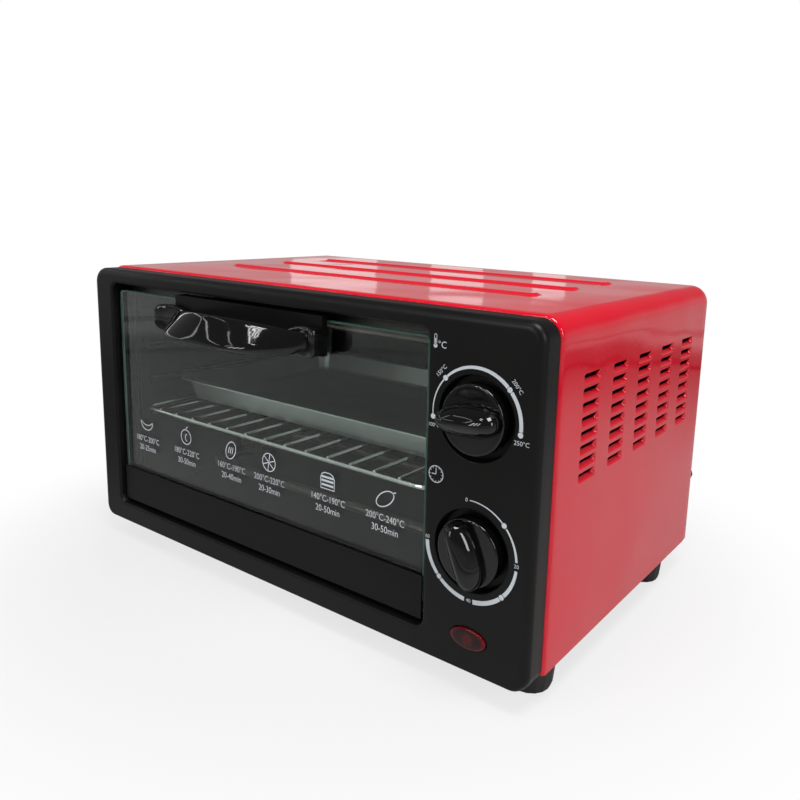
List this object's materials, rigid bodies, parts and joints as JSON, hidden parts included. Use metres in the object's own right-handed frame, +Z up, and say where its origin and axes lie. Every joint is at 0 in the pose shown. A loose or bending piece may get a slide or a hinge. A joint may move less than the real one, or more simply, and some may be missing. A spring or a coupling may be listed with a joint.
{
  "type": "countertop oven",
  "caption": "Compact red and black countertop oven with a drop-down glass door, bow handle, two control knobs, a wire rack and a baking tray.",
  "frame": {"origin": "Under the middle of the object's bounding box, on the surface it stands on.", "axes": "+X to the right as seen from the front, -Y towards the user, +Z up."},
  "size_m": [0.3624, 0.2709, 0.1988],
  "materials": {
    "satin_black_plastic": "satin, fine grain",
    "plate_black": "satin",
    "red_powder_coat": "gloss",
    "zinc_sheet": "galvanised",
    "black_foot_plastic": "matt",
    "black_rear_sheet": "satin",
    "screw_steel": "bright",
    "inlet_rubber": "matt",
    "aluminised_sheet": "satin, rolled",
    "heater_steel": "annealed, dark",
    "ceramic": "unglazed ceramic",
    "door_pane": "tempered, smooth",
    "rail_black": "satin",
    "gloss_black": "high gloss",
    "red_lens": "clear red",
    "nylon": "natural nylon",
    "timer_steel": "plated",
    "plated_wire": "bright plated",
    "tray_enamel": "semi-gloss coating",
    "lead_sleeve": "woven sleeve"
  },
  "bodies": {
    "oven": {"base_pan": "zinc_sheet", "cavity_floor": "aluminised_sheet", "cavity_front_frame": "aluminised_sheet", "cavity_left_wall": "aluminised_sheet", "cavity_right_wall": "aluminised_sheet", "cavity_top_back": "aluminised_sheet", "control_bracket": "zinc_sheet", "cord_inlet": "inlet_rubber", "door_spring": "screw_steel", "fascia": "satin_black_plastic", "foot_front_left": "black_foot_plastic", "foot_front_right": "black_foot_plastic", "foot_rear_left": "black_foot_plastic", "foot_rear_right": "black_foot_plastic", "heat_shield": "zinc_sheet", "heater_bush_lower_front": "ceramic", "heater_bush_lower_rear": "ceramic", "heater_bush_upper_front": "ceramic", "heater_bush_upper_rear": "ceramic", "heater_clip_lower": "heater_steel", "heater_clip_upper": "heater_steel", "hinge_bracket_left": "screw_steel", "hinge_bracket_right": "screw_steel", "lamp_housing": "nylon", "lamp_lens": "red_lens", "lead_heater_link": "lead_sleeve", "lead_supply": "lead_sleeve", "lead_timer": "lead_sleeve", "lead_upper_heater": "lead_sleeve", "lower_heater": "heater_steel", "rear_cover": "black_rear_sheet", "rear_screw_high_left": "screw_steel", "rear_screw_high_right": "screw_steel", "rear_screw_low_left": "screw_steel", "rear_screw_low_right": "screw_steel", "rear_spacer_left": "black_foot_plastic", "rear_spacer_right": "black_foot_plastic", "shell": "red_powder_coat", "terminal_block": "nylon", "thermostat_body": "ceramic", "timer_bell": "timer_steel", "timer_body": "timer_steel", "upper_heater": "heater_steel"},
    "door": {"door_glass": "door_pane", "door_lower_rail": "rail_black", "door_top_plate": "plate_black", "handle": "gloss_black", "handle_backing_strip": "screw_steel", "handle_screw_left": "screw_steel", "handle_screw_right": "screw_steel", "hinge_pin_left": "screw_steel", "hinge_pin_right": "screw_steel"},
    "temperature_control": {"temperature_knob": "gloss_black", "thermostat_shaft": "screw_steel"},
    "timer_control": {"timer_knob": "gloss_black", "timer_shaft": "screw_steel"},
    "rack": {"wire_rack": "plated_wire"},
    "tray": {"baking_tray": "tray_enamel"}
  },
  "joints": [
    {"name": "door_hinge", "type": "hinge", "parent": "oven", "child": "door", "pos_m": [-0.02125, -0.0937, 0.0342], "axis": [1, 0, 0], "range_deg": [0, 85], "stiffness_Nm_per_rad": 0.1, "springref_deg": -34.38},
    {"name": "temperature_knob_turn", "type": "hinge", "parent": "oven", "child": "temperature_control", "pos_m": [0.1449, -0.1007, 0.14623], "axis": [0, 1, 0], "range_deg": [0, 194]},
    {"name": "timer_knob_turn", "type": "hinge", "parent": "oven", "child": "timer_control", "pos_m": [0.1449, -0.1007, 0.07892], "axis": [0, 1, 0], "range_deg": [0, 270]},
    {"name": "rack_slide", "type": "slide", "parent": "oven", "child": "rack", "axis": [0, -1, 0], "range_m": [0, 0.0891]},
    {"name": "tray_slide", "type": "slide", "parent": "rack", "child": "tray", "axis": [0, -1, 0], "range_m": [0, 0.022]}
  ],
  "couplings": [
    {"joint": "rack_slide", "follows": "door_hinge", "m_per_rad": 0.06}
  ]
}
